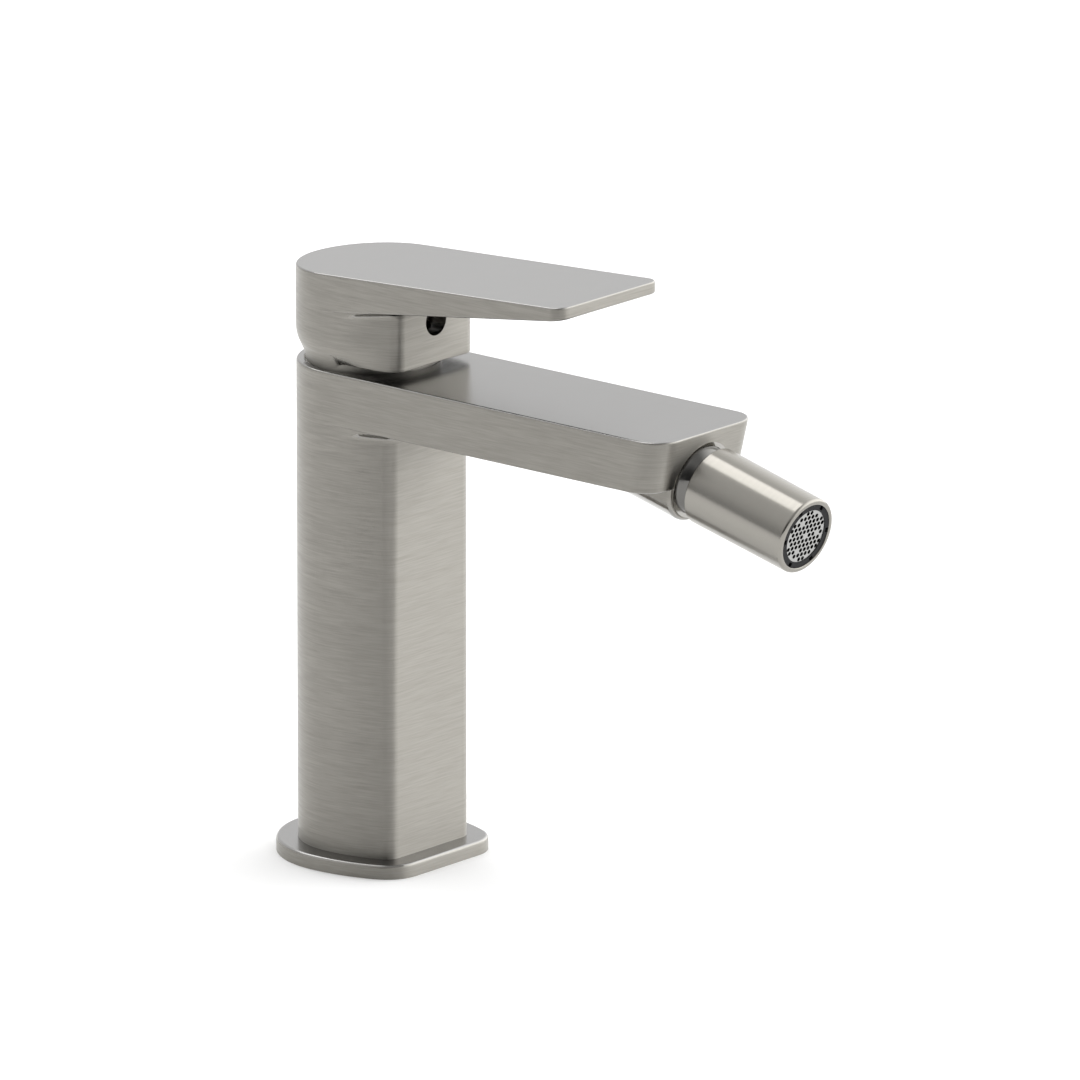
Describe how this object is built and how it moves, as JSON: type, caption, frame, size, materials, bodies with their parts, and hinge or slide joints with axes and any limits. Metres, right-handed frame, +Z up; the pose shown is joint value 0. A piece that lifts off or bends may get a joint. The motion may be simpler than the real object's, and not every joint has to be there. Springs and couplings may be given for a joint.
{
  "type": "bidet mixer",
  "caption": "Single-lever bidet mixer: bowed column on a D-shaped flange, flat spout, lever on a round-footed hub, and a ball-jointed nozzle with a perforated aerator.",
  "frame": {"origin": "centre of the column's foot on the deck plane", "axes": "+Z up along the column, -Y the way the spout points, X across"},
  "size_m": [0.054, 0.183, 0.1715],
  "materials": {
    "brushed_nickel": "brushed",
    "turned_nickel": "brushed round the axis",
    "bright_nickel": "polished",
    "brass": "turned",
    "steel": "satin",
    "dark_plastic": "moulded",
    "black_rubber": "matt",
    "ceramic": "lapped"
  },
  "bodies": {
    "mixer": {"mixer_body": "brushed_nickel", "base_flange": "brushed_nickel", "base_seal": "black_rubber", "cartridge_housing": "dark_plastic", "cartridge_base": "dark_plastic", "port_seals": "black_rubber", "fixed_disc": "ceramic", "ring_nut": "brass", "socket_ring": "bright_nickel", "seat_o_ring": "black_rubber"},
    "rotor": {"cartridge_rotor": "dark_plastic", "rotor_seal": "black_rubber", "stem_pin": "steel"},
    "lever": {"lever_handle": "brushed_nickel", "stem": "steel", "set_screw": "steel"},
    "disc": {"moving_disc": "ceramic", "disc_driver": "dark_plastic"},
    "seat": {"rear_seat": "ceramic"},
    "nozzle": {"swivel_ball": "bright_nickel", "nozzle_body": "turned_nickel", "aerator_housing": "dark_plastic", "aerator_plate": "steel", "aerator_screens": "steel", "aerator_gasket": "black_rubber"}
  },
  "joints": [
    {"name": "lever_turn", "type": "hinge", "parent": "mixer", "child": "rotor", "pos_m": [0, 0, 0.1494], "axis": [0, 0, 1], "range_deg": [-45, 45]},
    {"name": "lever_lift", "type": "hinge", "parent": "rotor", "child": "lever", "pos_m": [0, 0, 0.1494], "axis": [-1, 0, 0], "range_deg": [0, 18]},
    {"name": "disc_slide", "type": "slide", "parent": "rotor", "child": "disc", "axis": [0, -1, 0], "range_m": [0, 0.0034]},
    {"name": "nozzle_swing", "type": "hinge", "parent": "mixer", "child": "seat", "pos_m": [0, -0.11365, 0.12613], "axis": [0, -0.2419, 0.9703], "range_deg": [-10, 10]},
    {"name": "nozzle_tilt", "type": "hinge", "parent": "seat", "child": "nozzle", "pos_m": [0, -0.11365, 0.12613], "axis": [1, 0, 0], "range_deg": [-10, 10]}
  ],
  "couplings": [
    {"joint": "disc_slide", "follows": "lever_lift", "m_per_rad": 0.010079}
  ]
}
